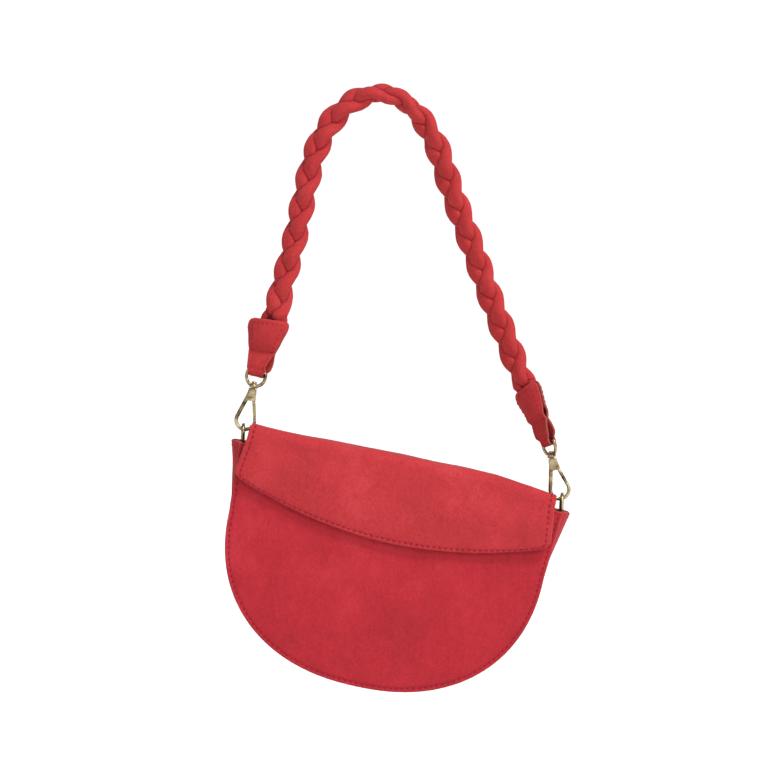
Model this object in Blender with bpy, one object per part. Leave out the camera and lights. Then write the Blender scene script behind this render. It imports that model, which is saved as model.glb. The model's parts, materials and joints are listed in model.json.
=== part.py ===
"""Half-moon shoulder bag with a front flap and a braided strap on two snap hooks.

The bag hangs by its strap. The origin is under the top of the strap, where it is held,
X runs to the right, Y to the back and Z up. Lengths below are in millimetres.
"""
import math

import bmesh
import bpy
from mathutils import Matrix, Vector

MM = 0.001
GAP = 0.3                     # left between pieces that touch

# The bag's body, in its own frame: X across, Y to the back, Z up from the fold's ends.
BAG_PLACE = (11.6, 0.0, -247.6)
BAG_TILT = 12.3               # degrees, right side lower, as it hangs
BAG_HALF_WIDTH = 112.0        # where the round lower part begins
ROUND_START = 59.4            # depth of that place
ROUND_DEPTH = 101.0           # from there to the bottom
ROUND_POWER = 2.24            # 2 is an ellipse
PANEL_FLARE = 0.07            # how fast the panels widen upwards
GUSSET_FLARE = 0.21           # and the gusset, which stands out beside them at the top
BAG_DEPTH = 50.0
LEATHER = 2.0
FRONT_TOP = 12.0              # depth of the front panel's top edge
BACK_TOP = 5.0                # at the flap's neck; at its corners it is as low as the front
BACK_SHOULDER = 96.0          # half the width of that higher part
GUSSET_TOP = 12.0
GUSSET_COLUMNS = 7
LINING_TOP = 15.0
LINING_INSET = 7.5
LINING_CLOTH = 0.8
BOARD_INSET = 8.0
BOARD = 0.8

# The flap: over the mouth from the back's top edge, then down the front.
FLAP_NECK_HALF = 92.0         # behind the fold, between the two rings
FLAP_FOLD_HALF = 108.5
FLAP_LOW_HALF = 111.5
FLAP_DROP = 59.0              # at the middle
FLAP_SIDE_DROP = 38.0         # at the sides, so the lower edge is a flat arc
FLAP_CROWN = 4.5              # how far the fold rises at its middle
CROWN_EASE = 12.0             # the rise fades out over this length at the back edge
FLAP_STAND = 31.0             # its front hangs this far before the bag's middle
FLAP_LEATHER = 1.3
FLAP_CLOTH = 0.8
FLAP_BOARD = 0.5
SNAP_DEPTH = 46.0
SNAP_RADIUS = 7.0
SNAP_HIGH = 2.3               # the socket's height
SOCKET_MOUTH = 4.0            # radius
STUD_DISC = 0.8
STUD_RADIUS = 2.2
STUD_REACH = 2.2

# The D rings sewn in at the two ends of the mouth.
RING_X = 114.1
RING_HOLD_DEPTH = 3.35        # depth of the hook's bar inside the ring
RING_HALF_WIDTH = 6.2
RING_BAR_DROP = 9.4           # from the hook's bar to the ring's straight bar
RING_LEAN = 9.0               # degrees from the bag's own upright, as the hooks pull it
RING_PLAY = 0.6
RING_TAB_LEATHER = 1.2
RING_WIRE = 1.25              # radius
RING_TAB_WIDTH = 9.5

# The swivel snap hooks, in a frame with its origin in the swivel and -Z down the hook.
HOOK_LEAN = 13.5              # degrees from upright, each foot outwards
HOOK_LENGTH = 31.0            # swivel to the bar that the ring hangs on
HOOK_ARC = 6.5
HOOK_WIRE = 1.3               # radius
HOOK_START_ANGLE = 168.0      # where the straight side meets the arc
HEAD_RADIUS = 1.95
HEAD_HIGH = 1.4
SHANK_TOP_HALF = 2.6
SHANK_LOW_HALF = 3.4
SHANK_HALF_DEPTH = 2.1
SHANK_FOOT = -10.4
GATE_SLOT_HALF = 1.25
GATE_EYE_RADIUS = 1.45
PIN_RADIUS = 0.5
PIN_GAP = 0.1
EYE_HALF_WIDTH = 6.8
EYE_HEIGHT = 10.3             # swivel to the eye's straight bar
EYE_WIRE = 1.2                # radius
EYE_TWIST = {"left": -12.0, "right": -55.0}
BOSS_RADIUS = 3.1
BOSS_HALF = 1.3
POST_RADIUS = 1.3
GATE_PIVOT = (2.1, -8.6)
GATE_END_ANGLE = 12.0         # degrees above the arc's middle, where gate and nose meet
GATE_WIRE = 1.15

# The strap.
TAB_LEAN = {"left": 14.0, "right": -22.3}
TAB_LENGTH = 37.0
TAB_TOP_WIDTH = 27.5
TAB_FOOT_WIDTH = 14.2
TAB_SEAM = 15.0               # height of the cross seam above the eye's bar
TAB_LEATHER = 1.5
TAB_LOOP = 2.1                # radius of the loop's inside
TAB_MOUTH = 3.9               # half the space for the strands
BRAID_SWING = 5.5             # how far a strand goes to each side
BRAID_WEAVE = 4.4             # and to the front and back
BRAID_TURNS = 38              # sixths of a cycle from end to end
BRAID_INSIDE = 9.0            # length held inside each tab
BRAID_STILL = 17.0            # the strands lie side by side and straight up to here
STRAND_RADIUS = 2.6
STRAND_STEP = 5.9             # spacing of the strands in the tabs
BRAID_ROLL = (38.0, 142.0)    # degrees about its own line, down the left and down the right
ROLL_PLACE = (0.34, 0.60)     # shares of its length between which it rolls over
ROLL_EASE = 28.0              # length before each tab in which it lines up with the tab
BRAID_ROUTE = [
    (-78.9, -149.9), (-72.8, -124.7), (-66.5, -101.9), (-62.0, -81.8), (-57.3, -60.6),
    (-52.2, -39.3), (-46.2, -23.7), (-37.8, -10.0), (-27.5, 0.2), (-14.5, 7.0),
    (-1.0, 8.0), (11.0, 3.6), (20.0, -4.6), (28.6, -16.2), (36.0, -31.5), (41.8, -49.0),
    (48.8, -69.3), (56.7, -90.7), (63.6, -109.8), (71.0, -130.7), (78.7, -151.0),
    (86.6, -171.0), (92.9, -187.5), (96.9, -196.4),
]

SIDES = {"left": -1.0, "right": 1.0}
COLOURS = {
    "suede_body": ((0.50, 0.035, 0.055), 0.85, 0.0),
    "suede_flap": ((0.56, 0.050, 0.065), 0.85, 0.0),
    "suede_strap": ((0.47, 0.036, 0.052), 0.85, 0.0),
    "lining_cloth": ((0.20, 0.15, 0.11), 0.9, 0.0),
    "board": ((0.35, 0.28, 0.20), 0.9, 0.0),
    "antique_brass": ((0.42, 0.33, 0.17), 0.3, 1.0),
}


def clear_scene():
    for thing in list(bpy.data.objects):
        bpy.data.objects.remove(thing, do_unlink=True)


def material(name):
    found = bpy.data.materials.get(name)
    if found:
        return found
    colour, roughness, metallic = COLOURS[name]
    made = bpy.data.materials.new(name)
    made.use_nodes = True
    shader = made.node_tree.nodes["Principled BSDF"]
    shader.inputs["Base Color"].default_value = (*colour, 1.0)
    shader.inputs["Roughness"].default_value = roughness
    shader.inputs["Metallic"].default_value = metallic
    return made


def frame(name, place, turn):
    """An empty that carries the pieces of one place."""
    empty = bpy.data.objects.new(name, None)
    bpy.context.scene.collection.objects.link(empty)
    empty.matrix_world = Matrix.Translation(Vector(place) * MM) @ turn
    return empty


def add_piece(name, points, faces, slot, parent=None, smooth=True):
    """A mesh object from points in millimetres, with its faces turned outwards."""
    mesh = bpy.data.meshes.new(name)
    mesh.from_pydata([Vector(point) * MM for point in points], [], faces)
    work = bmesh.new()
    work.from_mesh(mesh)
    bmesh.ops.recalc_face_normals(work, faces=work.faces)
    if work.calc_volume(signed=True) < 0:
        bmesh.ops.reverse_faces(work, faces=work.faces)
    work.to_mesh(mesh)
    work.free()
    mesh.materials.append(material(slot))
    if smooth:
        mesh.shade_smooth()
        mesh.set_sharp_from_angle(angle=math.radians(40))
    piece = bpy.data.objects.new(name, mesh)
    bpy.context.scene.collection.objects.link(piece)
    piece.parent = parent
    return piece


def join(piece, others, operation="UNION"):
    """Add the others to the piece, or cut them out of it."""
    for number, other in enumerate(others):
        other.hide_render = True
        other.display_type = "WIRE"
        step = piece.modifiers.new(f"{operation.lower()}_{number}", "BOOLEAN")
        step.operation = operation
        step.object = other
    return piece


def slab(rows, thickness):
    """A bent sheet: rows of points on its middle, thickened to both sides."""
    count, across = len(rows), len(rows[0])
    half = thickness / 2
    upper, lower = [], []
    for i in range(count):
        for j in range(across):
            along = rows[min(i + 1, count - 1)][j] - rows[max(i - 1, 0)][j]
            side = rows[i][min(j + 1, across - 1)] - rows[i][max(j - 1, 0)]
            normal = along.cross(side).normalized() * half
            upper.append(rows[i][j] + normal)
            lower.append(rows[i][j] - normal)
    size = len(upper)
    faces = []
    for i in range(count - 1):
        for j in range(across - 1):
            a, b = i * across + j, i * across + j + 1
            c, d = b + across, a + across
            faces.append((a, b, c, d))
            faces.append((d + size, c + size, b + size, a + size))
    rim = list(range(across))
    rim += [i * across + across - 1 for i in range(1, count)]
    rim += [(count - 1) * across + j for j in range(across - 2, -1, -1)]
    rim += [i * across for i in range(count - 2, 0, -1)]
    for here, there in zip(rim, rim[1:] + rim[:1]):
        faces.append((here, there, there + size, here + size))
    return upper + lower, faces


def plate(outline, low, high):
    """An upright outline of (x, z) points, given a thickness from y low to y high."""
    count = len(outline)
    points = [(x, low, z) for x, z in outline] + [(x, high, z) for x, z in outline]
    faces = [tuple(range(count)), tuple(range(2 * count - 1, count - 1, -1))]
    for i in range(count):
        j = (i + 1) % count
        faces.append((i, i + count, j + count, j))
    return points, faces


def tube(path, radius, sides=10, closed=False):
    """A round wire along a list of points."""
    count = len(path)
    points, faces = [], []
    guide = None
    for i in range(count):
        if closed:
            along = path[(i + 1) % count] - path[i - 1]
        else:
            along = path[min(i + 1, count - 1)] - path[max(i - 1, 0)]
        along.normalize()
        if guide is None:
            guide = Vector((0, 1, 0)) if abs(along.y) < 0.9 else Vector((1, 0, 0))
        guide = (guide - along * guide.dot(along)).normalized()
        other = along.cross(guide)
        for k in range(sides):
            turn = 2 * math.pi * k / sides
            points.append(path[i] + (guide * math.cos(turn) + other * math.sin(turn)) * radius)
    for i in range(count if closed else count - 1):
        for k in range(sides):
            a, b = i * sides + k, i * sides + (k + 1) % sides
            c, d = (b + sides) % (count * sides), (a + sides) % (count * sides)
            faces.append((a, b, c, d))
    if not closed:
        faces.append(tuple(range(sides - 1, -1, -1)))
        faces.append(tuple(range((count - 1) * sides, count * sides)))
    return points, faces


def rod(start, end, radius, sides=16):
    return tube([Vector(start), Vector(end)], radius, sides)


def block(half_top, half_foot, half_depth, top, foot):
    """An upright bar with four straight sides, wider at its foot."""
    outline = [(-half_top, top), (half_top, top), (half_foot, foot), (-half_foot, foot)]
    return plate(outline, -half_depth, half_depth)


def smooth_route(stops, step):
    """Points every step along a smooth curve through the stops."""
    dense = []
    ends = [stops[0] * 2 - stops[1]] + stops + [stops[-1] * 2 - stops[-2]]
    for before, here, there, after in zip(ends, ends[1:], ends[2:], ends[3:]):
        for k in range(20):
            t = k / 20
            dense.append(0.5 * (2 * here + (there - before) * t
                                + (2 * before - 5 * here + 4 * there - after) * t * t
                                + (3 * here - 3 * there + after - before) * t ** 3))
    dense.append(stops[-1])
    lengths = [0.0]
    for here, there in zip(dense, dense[1:]):
        lengths.append(lengths[-1] + (there - here).length)
    count = round(lengths[-1] / step)
    route, k = [], 0
    for i in range(count + 1):
        want = lengths[-1] * i / count
        while k < len(dense) - 2 and lengths[k + 1] < want:
            k += 1
        share = (want - lengths[k]) / (lengths[k + 1] - lengths[k])
        route.append(dense[k].lerp(dense[k + 1], min(share, 1.0)))
    return route, lengths[-1]


def turned_y(degrees):
    return Matrix.Rotation(math.radians(degrees), 4, "Y")


def turned_z(degrees):
    return Matrix.Rotation(math.radians(degrees), 4, "Z")


# ---- the bag's body ----

def half_moon(top, inset, flare, steps=28):
    """The body's outline from its top left round the bottom to its top right."""
    half = BAG_HALF_WIDTH - inset
    deep = ROUND_DEPTH - inset
    outline = []
    for k in range(4):
        depth = top + (ROUND_START - top) * k / 4
        outline.append((-half - (ROUND_START - depth) * flare, -depth))
    for k in range(steps + 1):
        turn = math.pi * k / steps
        across, down = -math.cos(turn), math.sin(turn)
        x = math.copysign(abs(across) ** (2 / ROUND_POWER), across) * half
        outline.append((x, -ROUND_START - abs(down) ** (2 / ROUND_POWER) * deep))
    for x, z in reversed(outline[:4]):
        outline.append((-x, z))
    return outline


def build_panels(bag):
    outer = BAG_DEPTH / 2
    places = {"front": (-outer, FRONT_TOP), "back": (outer - LEATHER, BACK_TOP)}
    for name, (low, top) in places.items():
        outline = half_moon(FRONT_TOP, 0.0, PANEL_FLARE)
        if top < FRONT_TOP:
            outline += [(BACK_SHOULDER, -top), (-BACK_SHOULDER, -top)]
        add_piece(f"{name}_panel", *plate(outline, low, low + LEATHER), "suede_body", bag)
    board_near = outer - LEATHER - GAP
    for name, side in (("front", -1), ("back", 1)):
        outline = half_moon(LINING_TOP, BOARD_INSET, PANEL_FLARE)
        solid = plate(outline, side * board_near, side * (board_near - BOARD))
        add_piece(f"{name}_stiffener", *solid, "board", bag)


def build_gusset(bag):
    """The strip between the panels; it follows their edges and stands out between them."""
    narrow = half_moon(GUSSET_TOP, LEATHER / 2, PANEL_FLARE, 40)
    wide = half_moon(GUSSET_TOP, LEATHER / 2, GUSSET_FLARE, 40)
    reach = BAG_DEPTH / 2 - LEATHER - 3 * GAP
    rows = []
    for (x_near, z), (x_far, _) in zip(narrow, wide):
        row = []
        for k in range(GUSSET_COLUMNS):
            share = 2 * k / (GUSSET_COLUMNS - 1) - 1
            x = x_far + (x_near - x_far) * share ** 4
            row.append(Vector((x, share * reach, z)))
        rows.append(row)
    add_piece("gusset", *slab(rows, LEATHER), "suede_body", bag)


def build_lining(bag):
    reach = BAG_DEPTH / 2 - LEATHER - BOARD - 3 * GAP
    outer = half_moon(LINING_TOP, LINING_INSET, PANEL_FLARE)
    inner = half_moon(LINING_TOP - 10, LINING_INSET + LINING_CLOTH, PANEL_FLARE)
    shell = add_piece("lining", *plate(outer, -reach, reach), "lining_cloth", bag)
    inside = reach - LINING_CLOTH
    hollow = add_piece("lining_hollow", *plate(inner, -inside, inside), "lining_cloth", bag)
    join(shell, [hollow], "DIFFERENCE")


def build_snap_socket(bag):
    face = -BAG_DEPTH / 2 - GAP
    top = face - SNAP_HIGH
    socket = rod((0, face, -SNAP_DEPTH), (0, top, -SNAP_DEPTH), SNAP_RADIUS, 24)
    floor = top + SNAP_HIGH * 2 / 3
    hole = rod((0, floor, -SNAP_DEPTH), (0, top - 1, -SNAP_DEPTH), SOCKET_MOUTH, 20)
    piece = add_piece("snap_socket", *socket, "antique_brass", bag)
    join(piece, [add_piece("socket_hole", *hole, "antique_brass", bag)], "DIFFERENCE")


def build_ring(side, parent):
    """A D ring round the hook's bar, which lies at its frame's origin."""
    arc_middle = HOOK_WIRE + RING_WIRE + RING_PLAY - RING_HALF_WIDTH
    path = []
    for k in range(15):
        turn = math.pi * k / 14
        y, z = math.cos(turn) * RING_HALF_WIDTH, math.sin(turn) * RING_HALF_WIDTH
        path.append(Vector((0, y, arc_middle + z)))
    bend = 1.6
    for edge in (-1, 1):
        corner = []
        for k in range(4):
            turn = math.radians(30 * k)
            y = RING_HALF_WIDTH - bend + bend * math.cos(turn)
            z = -RING_BAR_DROP + bend - bend * math.sin(turn)
            corner.append(Vector((0, edge * y, z)))
        path += corner if edge < 0 else corner[::-1]
    solid = tube(path, RING_WIRE, closed=True)
    return add_piece(f"{side}_bag_ring", *solid, "antique_brass", parent)


def build_ring_tab(side, sign, bag):
    """A strip folded through the ring, with both ends hanging beside the gusset."""
    lean = math.radians(RING_LEAN)
    bar_x = RING_X + sign * RING_BAR_DROP * math.sin(lean)
    bar_z = -RING_HOLD_DEPTH - RING_BAR_DROP * math.cos(lean)
    loop = RING_WIRE + GAP + RING_TAB_LEATHER / 2
    path = [(RING_X + 1.2, bar_z - 17), (RING_X + 2.0, bar_z - 9)]
    for k in range(9):
        turn = math.radians(-30 + 240 * k / 8)
        path.append((bar_x + math.cos(turn) * loop, bar_z + math.sin(turn) * loop))
    path += [(RING_X - 0.2, bar_z - 9), (RING_X - 0.8, bar_z - 17)]
    half = RING_TAB_WIDTH / 2
    rows = [[Vector((sign * x, -half, z)), Vector((sign * x, half, z))] for x, z in path]
    add_piece(f"{side}_ring_tab", *slab(rows, RING_TAB_LEATHER), "suede_body", bag)


# ---- the flap ----

def flap_rows(lift, inset):
    """The flap's middle surface, moved out by lift and in from its edges by inset."""
    back, front = BAG_DEPTH / 2, FLAP_STAND
    profile = [(back, -3.2, 0), (back - 4.5, -0.8, 0), (back - 12, 0, 0), (4, 0, 0),
               (-back + 12, 0, 0), (-front + 8.5, -0.4, 0.6), (-front + 4, -1.9, 1),
               (-front + 1.2, -4.6, 1), (-front, -9, 1)]
    last = len(profile) - 1
    rows = []
    for number, (y, z, wide) in enumerate(profile):
        before, after = profile[max(number - 1, 0)], profile[min(number + 1, last)]
        out = Vector((0, after[1] - before[1], before[0] - after[0])).normalized()
        half = FLAP_NECK_HALF + (FLAP_FOLD_HALF - FLAP_NECK_HALF) * wide - inset
        rows.append(flap_row(y + out.y * lift, z + out.z * lift, half, 0.0, inset))
    for k in range(1, 8):
        share = k / 7
        half = FLAP_FOLD_HALF + (FLAP_LOW_HALF - FLAP_FOLD_HALF) * min(share * 1.3, 1) - inset
        rows.append(flap_row(-front - lift, -9, half, share, inset))
    return rows


def flap_row(y, z, half, share, inset):
    """One row across the flap; share is how far down the front it lies."""
    row = []
    for k in range(17):
        across = -1 + k / 8
        ease = min(max((BAG_DEPTH / 2 - y) / CROWN_EASE, 0), 1)
        crown = FLAP_CROWN * (1 - across ** 2) * ease
        drop = FLAP_DROP + (FLAP_SIDE_DROP - FLAP_DROP) * across ** 2
        foot = -drop + inset
        height = (z + crown) * (1 - share) + foot * share
        row.append(Vector((across * half, y, height)))
    return row


def build_flap(bag):
    outer_lift = FLAP_LEATHER / 2
    board_lift = -GAP - FLAP_BOARD / 2
    cloth_lift = board_lift - FLAP_BOARD / 2 - GAP - FLAP_CLOTH / 2
    outer = slab(flap_rows(outer_lift, 0.0), FLAP_LEATHER)
    add_piece("flap_outer", *outer, "suede_flap", bag)
    board = slab(flap_rows(board_lift, 3.0)[9:], FLAP_BOARD)
    add_piece("flap_stiffener", *board, "board", bag)
    cloth = slab(flap_rows(cloth_lift, 0.8), FLAP_CLOTH)
    add_piece("flap_lining", *cloth, "lining_cloth", bag)
    face = -FLAP_STAND - cloth_lift + FLAP_CLOTH / 2 + GAP
    back = face + STUD_DISC
    disc = rod((0, face, -SNAP_DEPTH), (0, back, -SNAP_DEPTH), SNAP_RADIUS, 24)
    middle = face + STUD_DISC / 2
    boss = rod((0, middle, -SNAP_DEPTH), (0, face + STUD_REACH, -SNAP_DEPTH), STUD_RADIUS, 16)
    piece = add_piece("snap_stud", *disc, "antique_brass", bag)
    join(piece, [add_piece("stud_boss", *boss, "antique_brass", bag)])


# ---- the snap hooks ----

def build_eye(name, parent):
    """The D shaped swivel eye, with a boss that the hook's post turns in."""
    path = []
    for k in range(17):
        turn = math.pi + math.pi * k / 16
        x, z = math.cos(turn) * EYE_HALF_WIDTH, math.sin(turn) * EYE_HALF_WIDTH
        path.append(Vector((x, 0, EYE_HALF_WIDTH + z)))
    bend = 1.5
    for edge in (1, -1):
        corner = []
        for k in range(4):
            turn = math.radians(30 * k)
            x = EYE_HALF_WIDTH - bend + bend * math.cos(turn)
            z = EYE_HEIGHT - bend + bend * math.sin(turn)
            corner.append(Vector((edge * x, 0, z)))
        path += corner if edge > 0 else corner[::-1]
    eye = add_piece(name, *tube(path, EYE_WIRE, closed=True), "antique_brass", parent)
    boss = rod((0, 0, -BOSS_HALF), (0, 0, BOSS_HALF), BOSS_RADIUS, 20)
    hole = rod((0, 0, -3), (0, 0, 3), POST_RADIUS + GAP, 16)
    join(eye, [add_piece(f"{name}_boss", *boss, "antique_brass", parent)])
    return join(eye, [add_piece(f"{name}_hole", *hole, "antique_brass", parent)], "DIFFERENCE")


def hook_point(degrees):
    """A point on the hook's round foot; 0 is to the right and 90 up."""
    turn = math.radians(degrees)
    middle = -HOOK_LENGTH + HOOK_ARC
    return Vector((math.cos(turn) * HOOK_ARC, 0, middle + math.sin(turn) * HOOK_ARC))


def pin_bore():
    """The cutter for the hole that the gate's pin goes through."""
    x, z = GATE_PIVOT
    reach = 2 * SHANK_HALF_DEPTH
    return rod((x, -reach, z), (x, reach, z), PIN_RADIUS + PIN_GAP, 12)


def build_hook(side, parent):
    name = f"{side}_hook_body"
    top = Vector((-2.2, 0, -7.5))
    path = [top, top.lerp(hook_point(HOOK_START_ANGLE), 0.5)]
    sweep = 360 + GATE_END_ANGLE - HOOK_START_ANGLE
    for k in range(19):
        path.append(hook_point(HOOK_START_ANGLE + sweep * k / 18))
    body = add_piece(name, *tube(path, HOOK_WIRE, 12), "antique_brass", parent)
    seat = BOSS_HALF + GAP
    neck = rod((0, 0, seat + HEAD_HIGH / 2), (0, 0, -2 * seat), POST_RADIUS, 16)
    head = rod((0, 0, seat), (0, 0, seat + HEAD_HIGH), HEAD_RADIUS, 16)
    shank = block(SHANK_TOP_HALF, SHANK_LOW_HALF, SHANK_HALF_DEPTH, -seat, SHANK_FOOT)
    parts = [add_piece(f"{name}_{label}", *solid, "antique_brass", parent)
             for label, solid in (("neck", neck), ("head", head), ("shank", shank))]
    join(body, parts)
    x, z = GATE_PIVOT
    near, far = GATE_EYE_RADIUS + GAP * 1.5, 2 * SHANK_HALF_DEPTH
    outline = [(x - near, z + near), (x + far, z + near), (x + far, z - far), (x - near, z - far)]
    slot = plate(outline, -GATE_SLOT_HALF, GATE_SLOT_HALF)
    cuts = [add_piece(f"{name}_slot", *slot, "antique_brass", parent),
            add_piece(f"{name}_bore", *pin_bore(), "antique_brass", parent)]
    join(body, cuts, "DIFFERENCE")
    end = SHANK_HALF_DEPTH - PIN_GAP
    pin = rod((x, -end, z), (x, end, z), PIN_RADIUS, 12)
    add_piece(f"{side}_gate_pin", *pin, "antique_brass", parent)


def build_gate(side, parent):
    """The sprung gate: a flat eye on the pin and a round arm down to the nose."""
    x, z = GATE_PIVOT
    pivot = Vector((x, 0, z))
    tip = hook_point(GATE_END_ANGLE)
    reach = tip - pivot
    end = pivot + reach * (1 - 2 * GAP / reach.length)
    arm = tube([pivot + reach.normalized(), end], GATE_WIRE, 12)
    eye_half = GATE_SLOT_HALF - GAP
    eye = rod((x, -eye_half, z), (x, eye_half, z), GATE_EYE_RADIUS, 16)
    gate = add_piece(f"{side}_hook_gate", *arm, "antique_brass", parent)
    join(gate, [add_piece(f"{side}_gate_eye", *eye, "antique_brass", parent)])
    bore = add_piece(f"{side}_gate_bore", *pin_bore(), "antique_brass", parent)
    join(gate, [bore], "DIFFERENCE")


# ---- the strap ----

def build_tab(side, parent):
    """A strip folded round the eye's bar and sewn over the strands' ends."""
    centre = TAB_LOOP + TAB_LEATHER / 2
    pinch = TAB_LEATHER / 2 + GAP
    mouth = TAB_MOUTH + TAB_LEATHER / 2
    half_profile = [(mouth, TAB_LENGTH), (mouth, TAB_LENGTH - 10), (mouth * 0.8, TAB_SEAM + 6),
                    (pinch, TAB_SEAM), (pinch + 0.4, TAB_SEAM - 4), (centre * 0.8, 4.4)]
    path = [Vector((0, y, z)) for y, z in half_profile]
    for k in range(13):
        turn = math.radians(30 - 240 * k / 12)
        path.append(Vector((0, math.cos(turn) * centre, math.sin(turn) * centre)))
    path += [Vector((0, -y, z)) for y, z in reversed(half_profile)]
    rows = []
    for point in path:
        share = min(max((point.z - 2) / (TAB_LENGTH - 8), 0), 1)
        half = (TAB_FOOT_WIDTH + (TAB_TOP_WIDTH - TAB_FOOT_WIDTH) * share ** 1.3) / 2
        half = min(half, TAB_TOP_WIDTH / 2)
        if point.z < TAB_LOOP:
            half = min(half, EYE_HALF_WIDTH - EYE_WIRE - 2 * GAP)
        rows.append([point - Vector((half, 0, 0)), point + Vector((half, 0, 0))])
    add_piece(f"{side}_strap_tab", *slab(rows, TAB_LEATHER), "suede_strap", parent)


def smooth_step(value):
    value = min(max(value, 0), 1)
    return value * value * (3 - 2 * value)


def braid_roll(place, tab_across, along, near):
    """Degrees that the braid is rolled about its own line, and its two directions.

    Place is the share of its length. Near a tab the three strands line up with the tab.
    """
    right = Vector((along.z, 0, -along.x)).normalized()
    front = right.cross(along).normalized()
    start, end = ROLL_PLACE
    left_roll, right_roll = BRAID_ROLL
    roll = left_roll + (right_roll - left_roll) * smooth_step((place - start) / (end - start))
    goal = math.degrees(math.atan2(tab_across.dot(front), tab_across.dot(right)))
    change = (goal - roll + 90) % 180 - 90
    roll = math.radians(roll + change * near)
    rolled_right = right * math.cos(roll) + front * math.sin(roll)
    rolled_front = front * math.cos(roll) - right * math.sin(roll)
    return rolled_right, rolled_front


def build_strands(frames):
    """Three strands plaited along the route, side by side where the tabs hold them."""
    inside = Vector((0, 0, TAB_LENGTH - BRAID_INSIDE)) * MM
    stops = [Vector((x, 0, z)) for x, z in BRAID_ROUTE]
    stops.insert(0, frames["left"].matrix_world @ inside / MM)
    stops.append(frames["right"].matrix_world @ inside / MM)
    across = {side: frames[side].matrix_world.to_3x3() @ Vector((1, 0, 0)) for side in SIDES}
    route, length = smooth_route(stops, 4.0)
    step = length / (len(route) - 1)
    for number in range(3):
        path = []
        for i, here in enumerate(route):
            along = (route[min(i + 1, len(route) - 1)] - route[max(i - 1, 0)]).normalized()
            travel = i * step
            edge = min(travel, length - travel)
            share = (travel - BRAID_STILL) / (length - 2 * BRAID_STILL)
            phase = math.pi / 3 * (BRAID_TURNS * min(max(share, 0), 1) - 1)
            phase += 2 * math.pi * number / 3
            flat = (BRAID_STILL - edge) / (BRAID_STILL - BRAID_INSIDE - 1)
            flat = min(max(flat, 0), 1)
            sideways = BRAID_SWING * math.sin(phase) * (1 - flat)
            sideways += flat * STRAND_STEP * round(math.sin(phase))
            weave = BRAID_WEAVE * math.sin(2 * phase) * (1 - flat)
            near = 1 - smooth_step((edge - BRAID_STILL) / ROLL_EASE)
            side = "left" if travel < length / 2 else "right"
            right, front = braid_roll(travel / length, across[side], along, near)
            path.append(here + right * sideways + front * weave)
        add_piece(f"strand_{number + 1}", *tube(path, STRAND_RADIUS, 8), "suede_strap")


def build():
    clear_scene()
    bag = frame("bag_frame", BAG_PLACE, turned_y(BAG_TILT))
    bpy.context.view_layer.update()
    build_panels(bag)
    build_gusset(bag)
    build_lining(bag)
    build_snap_socket(bag)
    build_flap(bag)
    tabs = {}
    for side, sign in SIDES.items():
        build_ring_tab(side, sign, bag)
        bar = bag.matrix_world @ (Vector((sign * RING_X, 0, -RING_HOLD_DEPTH)) * MM)
        ring = frame(f"{side}_ring_frame", bar / MM, turned_y(BAG_TILT - RING_LEAN))
        build_ring(side, ring)
        lean = turned_y(-sign * HOOK_LEAN)
        swivel = bar / MM + lean @ Vector((0, 0, HOOK_LENGTH))
        hook = frame(f"{side}_hook_frame", swivel, lean)
        eye = frame(f"{side}_eye_frame", swivel, lean @ turned_z(EYE_TWIST[side]))
        build_eye(f"{side}_swivel_eye", eye)
        build_hook(side, hook)
        build_gate(side, hook)
        eye_bar = swivel + lean @ Vector((0, 0, EYE_HEIGHT))
        tab_turn = turned_y(TAB_LEAN[side]) @ turned_z(EYE_TWIST[side])
        tabs[side] = frame(f"{side}_tab_frame", eye_bar, tab_turn)
        build_tab(side, tabs[side])
    bpy.context.view_layer.update()
    build_strands(tabs)


build()
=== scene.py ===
"""The looks of the half-moon shoulder bag: suede, braid, brass, stitching and lining.

Lengths are in millimetres and become metres where a mesh is made. The bag's own frame has
X across, Y to the back and Z up from the ends of the flap's fold.
"""
import bisect
import json
import math

import bmesh
import bpy
from mathutils import Matrix, Vector, noise


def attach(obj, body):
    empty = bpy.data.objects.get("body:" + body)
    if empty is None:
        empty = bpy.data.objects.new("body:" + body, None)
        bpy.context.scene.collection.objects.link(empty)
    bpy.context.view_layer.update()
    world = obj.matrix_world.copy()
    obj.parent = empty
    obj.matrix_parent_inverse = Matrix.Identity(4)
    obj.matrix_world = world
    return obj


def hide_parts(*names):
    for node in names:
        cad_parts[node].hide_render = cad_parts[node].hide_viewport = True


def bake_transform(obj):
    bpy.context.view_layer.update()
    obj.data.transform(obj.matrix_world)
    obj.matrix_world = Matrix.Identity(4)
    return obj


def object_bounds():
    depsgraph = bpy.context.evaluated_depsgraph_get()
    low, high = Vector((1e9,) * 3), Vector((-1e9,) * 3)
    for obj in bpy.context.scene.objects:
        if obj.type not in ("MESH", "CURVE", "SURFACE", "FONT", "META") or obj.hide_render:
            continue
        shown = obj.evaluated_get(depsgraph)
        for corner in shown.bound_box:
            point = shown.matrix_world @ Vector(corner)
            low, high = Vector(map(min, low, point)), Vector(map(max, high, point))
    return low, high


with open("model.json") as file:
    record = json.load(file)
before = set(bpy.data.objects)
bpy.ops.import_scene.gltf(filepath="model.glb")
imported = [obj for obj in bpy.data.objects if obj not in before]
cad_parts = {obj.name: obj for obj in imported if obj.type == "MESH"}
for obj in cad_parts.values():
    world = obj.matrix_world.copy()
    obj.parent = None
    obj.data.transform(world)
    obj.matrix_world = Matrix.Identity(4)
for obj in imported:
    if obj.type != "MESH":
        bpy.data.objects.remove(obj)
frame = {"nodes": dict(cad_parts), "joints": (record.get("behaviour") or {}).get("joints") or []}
cad_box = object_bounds()

MM = 0.001
JOINTS = {joint["name"]: joint for joint in frame["joints"]}

WAYS = {"X": Vector((1, 0, 0)), "Y": Vector((0, 1, 0)), "Z": Vector((0, 0, 1))}

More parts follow.
